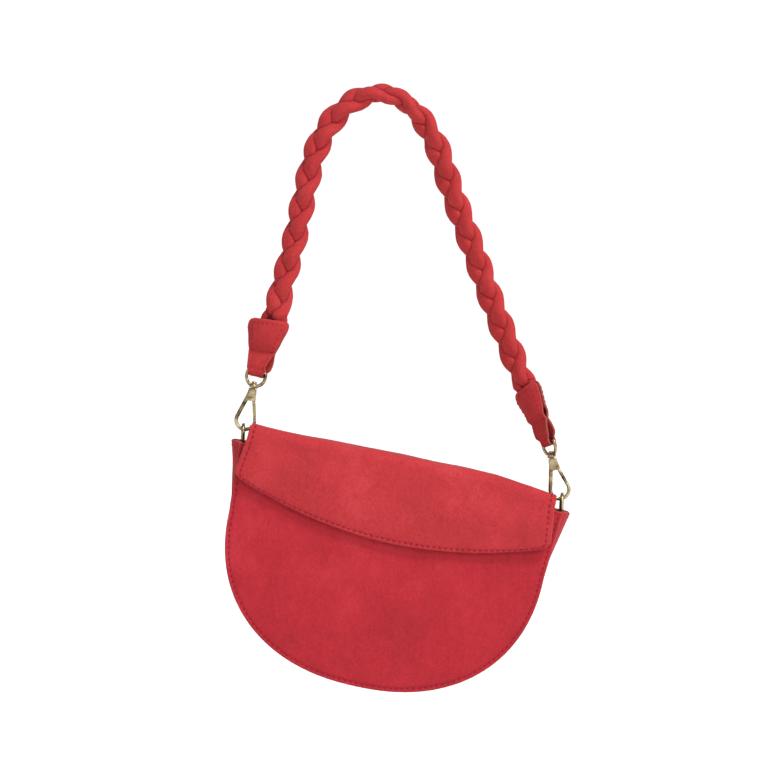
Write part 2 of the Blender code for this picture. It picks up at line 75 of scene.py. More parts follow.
# The bag's body, as the CAD has it.
HALF_WIDTH = 111.5
MIDDLE = 0.8  # the leather sits this far to the right of the rings' middle
ROUND_START = 59.4
ROUND_DEPTH = 101.0
ROUND_POWER = 2.24
PANEL_FLARE = 0.07
GUSSET_FLARE = 0.21
PANEL_FACE = 25.0  # from the bag's middle to a panel's outside
PANEL_HALF = 1.1  # half of a panel's leather
PANEL_REACH = 70.0  # from a panel's edge to its middle, about
GUSSET_INSET = 1.4
GUSSET_LEATHER = 1.9
FRONT_TOP = 12.0
BACK_TOP = 5.0
BACK_SHOULDER = 96.0
GUSSET_TOP = 12.0
LINING_TOP = 15.0
LINING_INSET = 7.6
LINING_REACH = 21.2  # from the bag's middle to a cloth wall
LINING_CLOTH = 0.5

# The flap.
FLAP_LEATHER = 1.3
FLAP_CLOTH = 0.7
FLAP_BOARD = 0.4
NECK_HALF = 92.0
FOLD_HALF = 108.5
LOW_HALF = 111.5
FLAP_DROP = 57.9
FLAP_SIDE_DROP = 38.5
FLAP_CROWN = 1.8
CROWN_LEAN = 1.9  # the fold is fuller towards the right
FLAP_STAND = 31.0
FLAP_CORNER = 8.0
LAP_DEPTH = 15.0  # it laps over the back panel and is sewn down there
LAP_CORNER = 5.0
FLAP_SKEW = math.radians(0.8)  # its front hangs a little lower on the right

# Rings and hooks.
RING_X = 114.1
RING_HOLD_DEPTH = 3.35
RING_HALF_WIDTH = 6.2
RING_BAR_DROP = 9.4
RING_LEAN = 9.0
RING_PLAY = 0.6
RING_WIRE = 1.2
RING_BEND = 1.6
RING_TAB_HALF_WIDTH = 4.7
RING_TAB_LEATHER = 1.1
RING_TAB_DEPTH = 17.0  # how far its ends reach below the ring's bar
HOOK_LEAN = 13.5
HOOK_LENGTH = 31.0
HOOK_ARC = 6.5
HOOK_CENTRE = Vector((0, 0, HOOK_ARC - HOOK_LENGTH))
HOOK_WIRE = 1.3
SHANK_HALF_DEPTH = 2.1
SHANK_BEND = 0.7
EYE_HALF_WIDTH = 6.8
EYE_HEIGHT = 10.3
EYE_WIRE = 1.2
EYE_BEND = 1.7
EYE_TWIST = {"left": -12.0, "right": -55.0}
GATE_PIVOT = Vector((2.1, 0, -8.6))
GATE_RIVET = GATE_PIVOT + Vector((-1.2, 0, 1.4))
GATE_NOSE = 12.0  # degrees up the hook's arc, where the gate's tip rests

# The strap.
TAB_LEAN = {"left": 14.0, "right": -22.3}
TAB_LENGTH = 37.0
TAB_TOP_WIDTH = 27.5
TAB_FOOT_WIDTH = 14.2
TAB_SEAM = 15.0
TAB_LEATHER = 1.5
TAB_LOOP = 2.1  # inside radius
TAB_CORNER = 3.0
BRAID_INSIDE = 9.0
BRAID_STILL = 15.0
BRAID_SIXTHS = 38  # of a strand's whole turn, over the braid's length
BRAID_SWING = 3.8
BRAID_WEAVE = 2.8
STRAND_HALF_WIDTH = 5.5
STRAND_HALF_THICK = 3.9
STRAND_STEP = 6.2
STRAND_SIDES = 36
# Painted shade where plaited strands meet: full within the start, fading out over the reach.
CREASE_SHADE_START = 1.0  # in strand sizes from a neighbour's middle line
CREASE_SHADE_REACH = 0.20
BRAID_ROLL = (38.0, 142.0)  # degrees about its own line, down the left and down the right
ROLL_PLACE = (0.34, 0.60)  # shares of its length, where the one becomes the other
ROLL_EASE = 28.0  # how far from a tab it turns out of the tab's plane
TAB_COVER = {"left": 0.0, "right": 3.0}  # how much further it covers the braid
TAB_SHEAR = {"left": 0.12, "right": 0.20}  # how steeply its ends rise to the right
TAB_FOOT_ROOM = {"left": 0.5, "right": 1.1}  # between the loop's edge and the eye's side
TAB_FOOT_TOP = {"left": -2.0, "right": 1.0}  # above this it widens
TAB_SLIDE = {"left": 1.5, "right": 0.0}  # how far the loop's layers slip apart sideways
BRAID_ROUTE = [
    (-78.9, -149.9), (-72.8, -124.7), (-66.5, -101.9), (-62.0, -81.8), (-57.3, -60.6),
    (-52.2, -39.3), (-46.2, -23.7), (-37.8, -10.0), (-27.5, 0.2), (-14.5, 7.0),
    (-1.0, 8.0), (11.0, 3.6), (20.0, -4.6), (28.6, -16.2), (36.0, -31.5), (41.8, -49.0),
    (48.8, -69.3), (56.7, -90.7), (63.6, -109.8), (71.0, -130.7), (78.7, -151.0),
    (86.6, -171.0), (92.9, -187.5), (96.9, -196.4),
]

# Stitching and cloth.
STITCH_PITCH = 4.0
STITCH_SHARE = 0.56  # of the pitch that shows as thread
THREAD = 0.48  # radius
STITCH_RISE = 0.18  # of a stitch's middle line above the leather
STITCH_DIP = 0.45  # of its ends below its middle
TAB_PITCH = 3.4
TAB_THREAD = 0.3
STITCH_INSET = 2.7
WEAVE = 1400 / 6.3  # the lining's threads, as a wave's scale

# The floor, the light and the view, in metres.
FLOOR_REACH = 60.0
FLOOR_GAP = 0.12  # the bag hangs this far above it
ROOM_FRONT = 0.68
ROOM_BACK = 0.45
ROOM_TURN = (-0.55, 0.35)  # between front and back, as sines
ROOM_SKYLINE = 1.06
SKYLINE = (0.15, 0.32)  # heights, as sines, where the even skyline fades out
SUN_POWER = 2.8
SUN_SIZE = 12.0  # degrees
SUN_WAY = (-0.38, 0.37, -0.85)
LAMP_PLACE = (1.1, -1.6, 0.7)
LAMP_TARGET = (0.0, 0.0, -0.2)
LAMP_SIZE = 0.8
LAMP_POWER = 13.0
VIEW_WIDTH = 0.5376
VIEW_CENTRE = (-0.0021, 0.0, -0.195)
LENS = 150.0  # millimetres
SENSOR = 36.0  # millimetres

SIDES = {"left": -1.0, "right": 1.0}


# ---- places ----

def bag_matrix():
    """The bag's frame, from the swing joint, which lies on the left hook's bar."""
    swing = JOINTS["bag_swing"]
    across = Vector(swing["axis"]).normalized()
    back = WAYS["Y"]
    up = across.cross(back).normalized()
    turn = Matrix((across, back, up)).transposed().to_4x4()
    bar = Vector(swing["pos_m"])
    origin = bar + across * RING_X * MM + up * RING_HOLD_DEPTH * MM
    return Matrix.Translation(origin) @ turn


BAG = bag_matrix()


def turned(degrees, axis):
    return Matrix.Rotation(math.radians(degrees), 4, axis)


def side_frames(side, sign):
    """The frames of one side's ring, hook, eye and strap tab."""
    swivel = JOINTS[f"{side}_hook_swivel"]["pos_m"]
    hook = Matrix.Translation(swivel) @ turned(-sign * HOOK_LEAN, "Y")
    twist = turned(EYE_TWIST[side], "Z")
    bar = BAG @ (Vector((sign * RING_X, 0, -RING_HOLD_DEPTH)) * MM)
    eye_bar = hook @ (Vector((0, 0, EYE_HEIGHT)) * MM)
    bag_tilt = math.degrees(math.atan2(-BAG[2][0], BAG[0][0]))
    return {
        "ring": Matrix.Translation(bar) @ turned(bag_tilt - RING_LEAN, "Y"),
        "hook": hook,
        "eye": hook @ twist,
        "tab": Matrix.Translation(eye_bar) @ turned(TAB_LEAN[side], "Y") @ twist,
    }


# ---- materials ----

class Graph:
    """The shader nodes of a material or of the world."""

    def __init__(self, owner):
        owner.use_nodes = True
        self.nodes = owner.node_tree.nodes
        self.links = owner.node_tree.links

    def fill(self, socket, value):
        """Join another node's output to a socket, or set the socket to a constant."""
        if isinstance(value, bpy.types.NodeSocket):
            self.links.new(value, socket)
        else:
            socket.default_value = value

    def node(self, kind, **sockets):
        made = self.nodes.new(kind)
        for name, value in sockets.items():
            self.fill(made.inputs[name], value)
        return made

    def mapped(self, value, taken, given, kind="LINEAR"):
        """A value turned from the range taken in to the range given out."""
        made = self.node("ShaderNodeMapRange", Value=value)
        made.interpolation_type = kind
        for name, number in zip(("From Min", "From Max", "To Min", "To Max"), (*taken, *given)):
            self.fill(made.inputs[name], number)
        return made.outputs["Result"]


class Look(Graph):
    """A material in the making; its patterns follow the piece's own coordinates."""

    def __init__(self, name):
        self.material = bpy.data.materials.new(name)
        super().__init__(self.material)
        self.place = self.node("ShaderNodeTexCoord").outputs["Object"]

    def noise(self, scale, detail=4.0, rough=0.6, stretch=None):
        place = self.place
        if stretch:
            place = self.node("ShaderNodeMapping", Vector=place, Scale=stretch).outputs["Vector"]
        made = self.node("ShaderNodeTexNoise", Vector=place, Scale=scale, Detail=detail,
                         Roughness=rough)
        return made.outputs["Fac"]

    def wave(self, direction, scale, distortion):
        made = self.node("ShaderNodeTexWave", Vector=self.place, Scale=scale,
                         Distortion=distortion)
        made.bands_direction = direction
        return made.outputs["Fac"]

    def ramp(self, value, stops):
        made = self.node("ShaderNodeValToRGB", Fac=value)
        elements = made.color_ramp.elements
        while len(elements) < len(stops):
            elements.new(0.5)
        for element, (place, colour) in zip(elements, stops):
            element.position = place
            element.color = (*colour, 1.0)
        return made.outputs["Color"]

    def mix(self, kind, share, first, second):
        made = self.nodes.new("ShaderNodeMix")
        made.data_type = "RGBA"
        made.blend_type = kind
        self.fill(made.inputs["Factor"], share)
        self.fill(made.inputs[6], first)
        self.fill(made.inputs[7], second)
        return made.outputs[2]

    def tint(self, base, value, share, dark, low, high):
        """The base colour, darkened by a share where the value is low."""
        shade = self.ramp(value, [(low, dark), (high, (1.0, 1.0, 1.0))])
        return self.mix("MULTIPLY", share, base, shade)

    def bump(self, height, distance, strength):
        return self.node("ShaderNodeBump", Height=height, Distance=distance, Strength=strength)

    def finish(self, base, bump, sockets):
        """Set the shader's sockets; the finished material comes back."""
        shader = self.nodes["Principled BSDF"]
        values = {"Base Color": base, "Normal": bump.outputs["Normal"], **sockets}
        for name, value in values.items():
            self.fill(shader.inputs[name], value)
        return self.material


def scaled(colour, factor):
    return tuple(channel * factor for channel in colour)


def suede(name, colour, cloud=0.16):
    """Napped leather: soft clouds where the nap lies over, fine grain, a dry sheen, and painted
    shade where plaited strands meet.
    """
    look = Look(name)
    dark, light = scaled(colour, 1 - cloud), scaled(colour, 1 + cloud)
    pale = (light[0], light[1] * 1.35, light[2] * 1.3)
    clouds = look.noise(26.0, 6.0, 0.66)
    strokes = look.noise(150.0, 4.0, 0.75, (1.0, 1.0, 0.45))
    flecks = look.noise(620.0, 3.0, 0.8)
    grain = look.noise(1700.0, 2.0, 0.75)
    base = look.ramp(clouds, [(0.28, dark), (0.52, colour), (0.78, pale)])
    base = look.tint(base, strokes, 0.75, (0.87, 0.83, 0.84), 0.32, 0.68)
    base = look.tint(base, flecks, 0.8, (0.72, 0.62, 0.64), 0.32, 0.66)
    base = look.tint(base, grain, 0.6, (0.80, 0.78, 0.78), 0.25, 0.75)
    # Painted shade: the strands' vertex attribute mixes the colour towards a deep dark red where
    # they meet, in place of the shadow there.
    crease_shade = look.node("ShaderNodeAttribute")
    crease_shade.attribute_name = "crease_shade"
    crease_shade_colour = (colour[0] * 0.44, colour[1] * 0.18, colour[2] * 0.28, 1.0)
    base = look.mix("MIX", crease_shade.outputs["Fac"], base, crease_shade_colour)
    soft = look.bump(strokes, 0.0008, 0.35)
    look.fill(soft.inputs["Normal"], look.bump(grain, 0.00025, 0.55).outputs["Normal"])
    return look.finish(base, soft, {
        "Roughness": 0.88, "Specular IOR Level": 0.18, "Sheen Weight": 0.08,
        "Sheen Roughness": 0.45, "Sheen Tint": (1.0, 0.42, 0.42, 1.0)})


def painted_edge(name):
    """The sealed cut edge: a dull brown red line, a little uneven."""
    look = Look(name)
    patches = look.noise(260.0)
    base = look.ramp(patches, [(0.3, (0.20, 0.035, 0.030)), (0.7, (0.36, 0.075, 0.060))])
    return look.finish(base, look.bump(patches, 0.0003, 0.4),
                       {"Roughness": 0.75, "Specular IOR Level": 0.15})


def thread(name):
    """Twisted polyester thread, darker than the leather."""
    look = Look(name)
    twist = look.wave("DIAGONAL", 900.0, 1.5)
    base = look.ramp(twist, [(0.2, (0.16, 0.002, 0.012)), (0.8, (0.32, 0.006, 0.026))])
    return look.finish(base, look.bump(twist, 0.0001, 0.6),
                       {"Roughness": 0.7, "Specular IOR Level": 0.2})


def antique_brass(name):
    """Brushed antique plating: darker in patches, brighter where it is rubbed."""
    look = Look(name)
    patches = look.noise(190.0, 3.0, 0.5)
    base = look.ramp(patches, [(0.28, (0.06, 0.042, 0.022)), (0.48, (0.30, 0.23, 0.12)),
                               (0.75, (0.62, 0.53, 0.34))])
    scratches = look.noise(2600.0, 2.0, 0.5, (1.0, 1.0, 0.12))
    rough = look.mapped(patches, (0.0, 1.0), (0.20, 0.36))
    return look.finish(base, look.bump(scratches, 0.00006, 0.35),
                       {"Metallic": 1.0, "Roughness": rough})


def woven(name, dark, light):
    """Plain woven cloth: two sets of threads that cross."""
    look = Look(name)
    cross = look.node("ShaderNodeMath")
    cross.operation = "MULTIPLY"
    for socket, direction in zip(cross.inputs, "XZ"):
        look.fill(socket, look.wave(direction, WEAVE, 0.6))
    weave = cross.outputs["Value"]
    base = look.ramp(weave, [(0.05, dark), (0.6, light)])
    return look.finish(base, look.bump(weave, 0.0002, 0.5),
                       {"Roughness": 0.9, "Sheen Weight": 0.15})


def fibre_board(name):
    look = Look(name)
    fibres = look.noise(900.0, 4.0, 0.7, (1.0, 1.0, 0.3))
    base = look.ramp(fibres, [(0.3, (0.22, 0.17, 0.12)), (0.7, (0.42, 0.35, 0.26))])
    return look.finish(base, look.bump(fibres, 0.0002, 0.4), {"Roughness": 0.9})


BODY = suede("body_suede_look", (0.418, 0.0205, 0.0315))
FLAP = suede("flap_suede_look", (0.446, 0.0315, 0.0375))
STRAP = suede("strap_suede_look", (0.430, 0.031, 0.033), 0.10)
EDGE = painted_edge("edge_paint_look")
SEAM = thread("thread_look")
BRASS = antique_brass("antique_brass_look")
CLOTH = woven("lining_look", (0.10, 0.07, 0.05), (0.30, 0.23, 0.17))
BOARD = fibre_board("board_look")


# ---- making meshes ----

def piece(name, solid, materials, body, place=Matrix()):
    """A smooth shaded mesh from a solid in millimetres, riding on a body if one is named.

    A solid is its points and faces. Some add a list with 1 for each face of the rim, which
    takes the second material.
    """
    points, faces, *picks = solid
    mesh = bpy.data.meshes.new(name)
    mesh.from_pydata([place @ (Vector(point) * MM) for point in points], [], faces)
    for material in materials:
        mesh.materials.append(material)
    if picks and len(materials) > 1:
        mesh.polygons.foreach_set("material_index", picks[0])
    work = bmesh.new()
    work.from_mesh(mesh)
    bmesh.ops.recalc_face_normals(work, faces=work.faces)
    work.to_mesh(mesh)
    work.free()
    mesh.shade_smooth()
    made = added(name, mesh)
    if body:
        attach(made, body)
    return made


def added(name, data):
    """A new object in the scene."""
    made = bpy.data.objects.new(name, data)
    bpy.context.scene.collection.objects.link(made)
    return made


def brass_piece(name, solid, body, place):
    return piece(name, solid, [BRASS], body, place)


def clamp(value):
    return min(max(value, 0), 1)


def smooth_step(value):
    value = clamp(value)
    return value * value * (3 - 2 * value)


def swollen(value, power):
    """A value from -1 to 1 raised to a power, with its sign kept."""
    return math.copysign(abs(value) ** power, value)


def dip(place, middle, width):
    """The share of its full depth that a rounded groove has at a place."""
    return math.exp(-((place - middle) / width) ** 2)


def wander(point, size, seed, amount):
    """A smooth, repeatable bump height for a point in millimetres."""
    return noise.noise(Vector(point) / size + Vector((seed, seed * 0.7, -seed))) * amount


def slope(line, i):
    """The way that a line of points runs at its point i."""
    return line[min(i + 1, len(line) - 1)] - line[max(i - 1, 0)]


def surface_normal(rows, i, j):
    """The normal of a surface of rows at row i, column j."""
    along = rows[min(i + 1, len(rows) - 1)][j] - rows[max(i - 1, 0)][j]
    return along.cross(slope(rows[i], j)).normalized()


def curve(stops, before_first, after_last, steps):
    """Points on a smooth curve through the stops; two more places set how its ends run."""
    line = [before_first, *stops, after_last]
    points = []
    for before, here, there, after in zip(line, line[1:], line[2:], line[3:]):
        for k in range(steps):
            t = k / steps
            points.append(0.5 * (2 * here + (there - before) * t
                                 + (2 * before - 5 * here + 4 * there - after) * t * t
                                 + (3 * here - 3 * there + after - before) * t ** 3))
    return points + [stops[-1]]


def measure(path):
    """How far along the path each of its points is."""
    lengths = [0.0]
    for here, there in zip(path, path[1:]):
        lengths.append(lengths[-1] + (there - here).length)
    return lengths


def locate(lengths, want):
    """The number of the stretch that holds this distance, and the share of it passed."""
    k = min(max(bisect.bisect_left(lengths, want) - 1, 0), len(lengths) - 2)
    return k, min((want - lengths[k]) / max(lengths[k + 1] - lengths[k], 1e-9), 1.0)


def smooth_line(stops, step):
    """Points every step along a smooth curve through the stops."""
    dense = curve(stops, stops[0] * 2 - stops[1], stops[-1] * 2 - stops[-2], 12)
    lengths = measure(dense)
    count = max(round(lengths[-1] / step), 2)
    route = []
    for i in range(count + 1):
        k, share = locate(lengths, lengths[-1] * i / count)
        route.append(dense[k].lerp(dense[k + 1], share))
    return route


def arc(centre, radius, start, end, steps, plane="XZ"):
    """Points on an arc, in degrees, in the plane of two of the axes."""
    first, second = WAYS[plane[0]], WAYS[plane[1]]
    turns = [math.radians(start + (end - start) * k / steps) for k in range(steps + 1)]
    return [centre + (first * math.cos(turn) + second * math.sin(turn)) * radius
            for turn in turns]


def loops(rings, cap=True):
    """Faces that join rings of equal length, closed by one face at each end."""
    points, faces = sum(rings, []), []
    around = len(rings[0])
    for i in range(len(rings) - 1):
        for k in range(around):
            a, b = i * around + k, i * around + (k + 1) % around
            faces.append((a, b, b + around, a + around))
    if cap:
        faces.append(tuple(range(around - 1, -1, -1)))
        faces.append(tuple(range(len(points) - around, len(points))))
    return points, faces


def circle(centre, first, second, radius, sides):
    turns = [2 * math.pi * k / sides for k in range(sides)]
    return [centre + (first * math.cos(turn) + second * math.sin(turn)) * radius
            for turn in turns]


def tube_rings(path, radius, sides, closed=False):
    """Rings round a path; the radius is a number or follows the share of the path passed."""
    count = len(path)
    rings, guide = [], None
    for i, here in enumerate(path):
        along = path[(i + 1) % count] - path[i - 1] if closed else slope(path, i)
        along.normalize()
        if guide is None:
            guide = WAYS["Y"] if abs(along.y) < 0.9 else WAYS["X"]
        guide = (guide - along * guide.dot(along)).normalized()
        size = radius(i / (count - 1)) if callable(radius) else radius
        rings.append(circle(here, guide, along.cross(guide), size, sides))
    return rings


def wire(path, radius, sides=18, closed=False):
    rings = tube_rings(path, radius, sides, closed)
    if not closed:
        return loops(rings)
    points, faces = loops(rings + rings[:1], cap=False)
    count = len(points) - sides
    return points[:count], [tuple(v % count for v in face) for face in faces]


def turned_solid(profile, sides=28, axis="Z", centre=Vector()):
    """A round solid from (radius, height) pairs, from its foot to its top."""
    side, along = WAYS["X"], WAYS[axis]
    return loops([circle(centre + along * height, side, along.cross(side), radius, sides)
                  for radius, height in profile])


def together(solids):
    points, faces = [], []
    for more_points, more_faces in solids:
        start = len(points)
        points += more_points
        faces += [tuple(v + start for v in face) for face in more_faces]
    return points, faces


def sheet_solid(rows, thickness, round_edge=0.35):
    """A bent sheet with rounded edges: its points, its faces, and 1 for each rim face."""
    count, across = len(rows), len(rows[0])
    upper, lower = [], []
    for i in range(count):
        for j in range(across):
            normal = surface_normal(rows, i, j) * thickness / 2
            upper.append(rows[i][j] + normal)
            lower.append(rows[i][j] - normal)
    size = len(upper)
    faces = []
    for i in range(count - 1):
        for j in range(across - 1):
            a, b = i * across + j, i * across + j + 1
            c, d = b + across, a + across
            faces.append((a, b, c, d))
            faces.append((d + size, c + size, b + size, a + size))
    rim = list(range(across))
    rim += [i * across + across - 1 for i in range(1, count)]
    rim += [(count - 1) * across + j for j in range(across - 2, -1, -1)]
    rim += [i * across for i in range(count - 2, 0, -1)]
    points = upper + lower
    middle = []
    for index in rim:
        i, j = divmod(index, across)
        inner = rows[min(max(i, 1), count - 2)][min(max(j, 1), across - 2)]
        out = (rows[i][j] - inner).normalized()
        middle.append(len(points))
        points.append(rows[i][j] + out * thickness * round_edge)
    flat_faces = len(faces)
    for k in range(len(rim)):
        m = (k + 1) % len(rim)
        faces.append((rim[k], rim[m], middle[m], middle[k]))
        faces.append((middle[k], middle[m], rim[m] + size, rim[k] + size))
    return points, faces, [0] * flat_faces + [1] * (len(faces) - flat_faces)


def seam(rows, cells, lift, outward):
    """Points and normals of a seam over cells (row, column) of a surface of rows."""
    line, normals = [], []
    for i, j in cells:
        normal = surface_normal(rows, i, j)
        if normal.dot(outward) < 0:
            normal.negate()
        normals.append(normal)
        line.append(rows[i][j] + normal * lift)
    return line, normals


def stitches(name, line, normals, body, place, pitch=STITCH_PITCH, thick=THREAD):
    """A row of stitches along a line, each a short lozenge that dips in at its ends."""
    lengths = measure(line)
    count = max(int(lengths[-1] / pitch), 1)
    solids = []
    for number in range(count):
        middle = (number + 0.5) * lengths[-1] / count
        spine = []
        for step in range(7):
            share = -1 + step / 3
            k, passed = locate(lengths, middle + share * pitch * STITCH_SHARE / 2)
            normal = normals[k].lerp(normals[k + 1], passed).normalized()
            spine.append(line[k].lerp(line[k + 1], passed)
                         + normal * (STITCH_RISE - STITCH_DIP * share ** 4))
        solids.append(wire(spine, lambda t: thick * (1 - 0.5 * abs(2 * t - 1) ** 3), 8))
    return piece(name, together(solids), [SEAM], body, place)


# ---- the bag's body ----

def half_moon(top, inset, flare, steps=72, sides=10):
    """The body's outline from its top left round the bottom to its top right."""
    half, deep = HALF_WIDTH - inset, ROUND_DEPTH - inset
    left = []
    for k in range(sides):
        depth = top + (ROUND_START - top) * k / sides
        left.append(Vector((-half - (ROUND_START - depth) * flare, 0, -depth)))
    outline = list(left)
    for k in range(steps + 1):
        turn = math.pi * k / steps
        across, down = -math.cos(turn), math.sin(turn)
        x = swollen(across, 2 / ROUND_POWER) * half
        outline.append(Vector((x, 0, -ROUND_START - abs(down) ** (2 / ROUND_POWER) * deep)))
    outline += [Vector((-point.x, 0, point.z)) for point in reversed(left)]
    return [point + WAYS["X"] * MIDDLE for point in outline]


def panel_ring(top, inset, shrink):
    """A closed ring on a panel: inset from its edge, then shrunk to its middle."""
    ring = half_moon(FRONT_TOP + inset, inset, PANEL_FLARE)
    start, end = ring[-1], ring[0]
    for k in range(1, 60):
        point = start.lerp(end, k / 60)
        rise = (start.x - abs(point.x - MIDDLE)) / (start.x - BACK_SHOULDER)
        point.z += (FRONT_TOP - top) * smooth_step(rise)
        ring.append(point)
    middle = Vector((0, 0, -ROUND_START - 22))
    return [point.lerp(middle, shrink) for point in ring]


def panel_height(inset, shrink, full):
    """How far the leather stands out at this distance from the panel's edge."""
    groove = 0.45 * dip(inset, STITCH_INSET, 0.75) if not shrink else 0
    depth = inset + shrink * PANEL_REACH
    return PANEL_HALF - groove + full * (1 - math.exp(-depth / 22))


def build_panel(name, out, top, full, seed):
    """One panel: a rolled, sealed edge, a stitched groove and a softly full middle."""
    middle, out_way = PANEL_FACE - PANEL_HALF, WAYS["Y"] * out
    levels = [(20.0, 0.96, -1), (9.0, 0.0, -1), (0.6, 0.0, -1), (0.15, 0.0, -0.75)]
    levels += [(0.0, 0.0, 0.0), (0.12, 0.0, 0.75)]
    fronts = [(inset, 0.0) for inset in (0.5, 1.1, 1.8, 2.3, 2.7, 3.1, 3.7, 4.6, 6.0, 8.0)]
    fronts += [(8.0, share / 16) for share in range(1, 16)] + [(8.0, 0.985)]
    rings = []
    for inset, shrink, level in levels:
        rings.append([point + out_way * (middle + PANEL_HALF * level)
                      for point in panel_ring(top, inset, shrink)])
    for inset, shrink in fronts:
        ring = []
        for point in panel_ring(top, inset, shrink):
            height = panel_height(inset, shrink, full)
            fade = min((inset + shrink * PANEL_REACH) / 12, 1)
            height += (wander(point, 38, seed, 1.1) + wander(point, 13, seed, 0.25)) * fade
            ring.append(point + out_way * (middle + height))
        rings.append(ring)
    points, faces = loops(rings)
    around = len(rings[0])
    rim = [int(2 <= number // around < 6) for number in range(len(faces))]
    panel = piece(f"{name}_panel_leather", (points, faces, rim), [BODY, EDGE], "bag",
                  BAG)
    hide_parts(f"{name}_panel")
    line = half_moon(FRONT_TOP + STITCH_INSET, STITCH_INSET, PANEL_FLARE)
    height = panel_height(STITCH_INSET, 0, full)
    line = [point + out_way * (middle + height) for point in line]
    stitches(f"{name}_panel_stitches", line, [out_way] * len(line), "bag", BAG)


def build_gusset():
    """The strip between the panels: sewn to their edges, standing out between them."""
    reach = PANEL_FACE - GUSSET_INSET
    narrow = half_moon(GUSSET_TOP, GUSSET_INSET, PANEL_FLARE, 96, 16)
    wide = half_moon(GUSSET_TOP, GUSSET_INSET, GUSSET_FLARE, 96, 16)
    rows = []
    for i, here in enumerate(narrow):
        along = slope(narrow, i)
        out = Vector((-along.z, 0, along.x)).normalized()
        if out.dot(here - Vector((0, 0, -ROUND_START))) < 0:
            out.negate()
        high = max(0.0, 1 + (here.z + GUSSET_TOP) / 45)
        row = []
        for share in [-1 + k / 15 for k in range(31)]:
            y = share * reach
            spread = 1 - share ** 4
            drawn = -1.3 * (1 - share ** 2) * (1 - high)
            ripple = wander((here.x, y, here.z), 24, 3.1, 0.9) * spread
            row.append(here.lerp(wide[i], spread) + out * (drawn + ripple) + WAYS["Y"] * y)
        rows.append(row)
    gusset = piece("gusset_leather", sheet_solid(rows, GUSSET_LEATHER), [BODY, EDGE], "bag",
                   BAG)
    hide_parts("gusset")
    for side, row in (("left", 1), ("right", len(rows) - 2)):
        cells = [(row, k) for k in range(6, len(rows[row]) - 6)]
        line, normals = seam(rows, cells, 0.6, Vector((SIDES[side], 0, 0)))
        stitches(f"{side}_gusset_hem_stitches", line, normals, "bag", BAG)


def build_lining():
    """The cloth pocket inside, open at its top, a little slack."""
    outer = half_moon(LINING_TOP, LINING_INSET, PANEL_FLARE, 48, 8)
    centre = Vector((0, 0, -ROUND_START - 10))
    rows = []
    for here in outer:
        inward = (centre - here).normalized()
        row = []
        for share in [-1 + k / 6 for k in range(13)]:
            y = share * LINING_REACH
            slack = wander((here.x, y, here.z), 18, 5.0, 1.0) * (1 - share ** 2)
            row.append(here + inward * (0.4 + abs(slack)) + WAYS["Y"] * y)
        rows.append(row)
    parts = [sheet_solid(rows, LINING_CLOTH)[:2]]
    for out in (-1, 1):
        rows = []
        for share in [0.0, 0.05] + [k / 8 for k in range(1, 8)] + [0.97]:
            row = []
            for point in outer:
                target = Vector((point.x, 0, point.z + LINING_TOP)) * (1 - share)
                target.z -= LINING_TOP
                slack = abs(wander(target, 30, 7.0 + out, 1.4)) * min(share * 4, 1)
                row.append(target + WAYS["Y"] * out * (LINING_REACH - 0.3 - slack))
            rows.append(row)
        parts.append(sheet_solid(rows, LINING_CLOTH)[:2])
    lining = piece("lining_cloth", together(parts), [CLOTH], "bag", BAG)
    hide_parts("lining")


# ---- the flap ----

def flap_profile():
    """Points (y, z, width share) from the lap on the back, over the mouth and the fold."""
    back, front = PANEL_FACE, FLAP_STAND
    stops = [(back + 2.3, -LAP_DEPTH, 0), (back + 2.3, -LAP_DEPTH + 4, 0), (back + 2.2, -7, 0),
             (back + 1.7, -3.6, 0), (back - 0.4, -1.4, 0), (back - 5, -0.5, 0),
             (back - 12, 0, 0.0), (8, 0.2, 0.0), (-4, 0.2, 0.02), (-back + 12, 0, 0.12),
             (-back + 5, 0.0, 0.45), (-back + 1.5, -0.2, 0.82), (-front + 3.2, -0.9, 0.97),
             (-front + 1.6, -2.0, 1), (-front + 0.6, -3.8, 1), (-front + 0.1, -6.2, 1),
             (-front, -9, 1)]
    stops = [Vector(stop) for stop in stops]
    return curve(stops, stops[0], stops[-1], 3)


FLAP_EDGE = [0.92, 0.95, 0.968, 0.976, 0.985, 0.994, 1]
FLAP_COLUMNS = [-place for place in reversed(FLAP_EDGE)]
FLAP_COLUMNS += [-0.88 + 0.04 * k for k in range(45)] + FLAP_EDGE
FLAP_SHARES = [k / 22 for k in range(1, 20)]
FLAP_SHARES += [0.885, 0.905, 0.92, 0.935, 0.947, 0.957, 0.966, 0.975, 0.984, 0.992, 1.0]


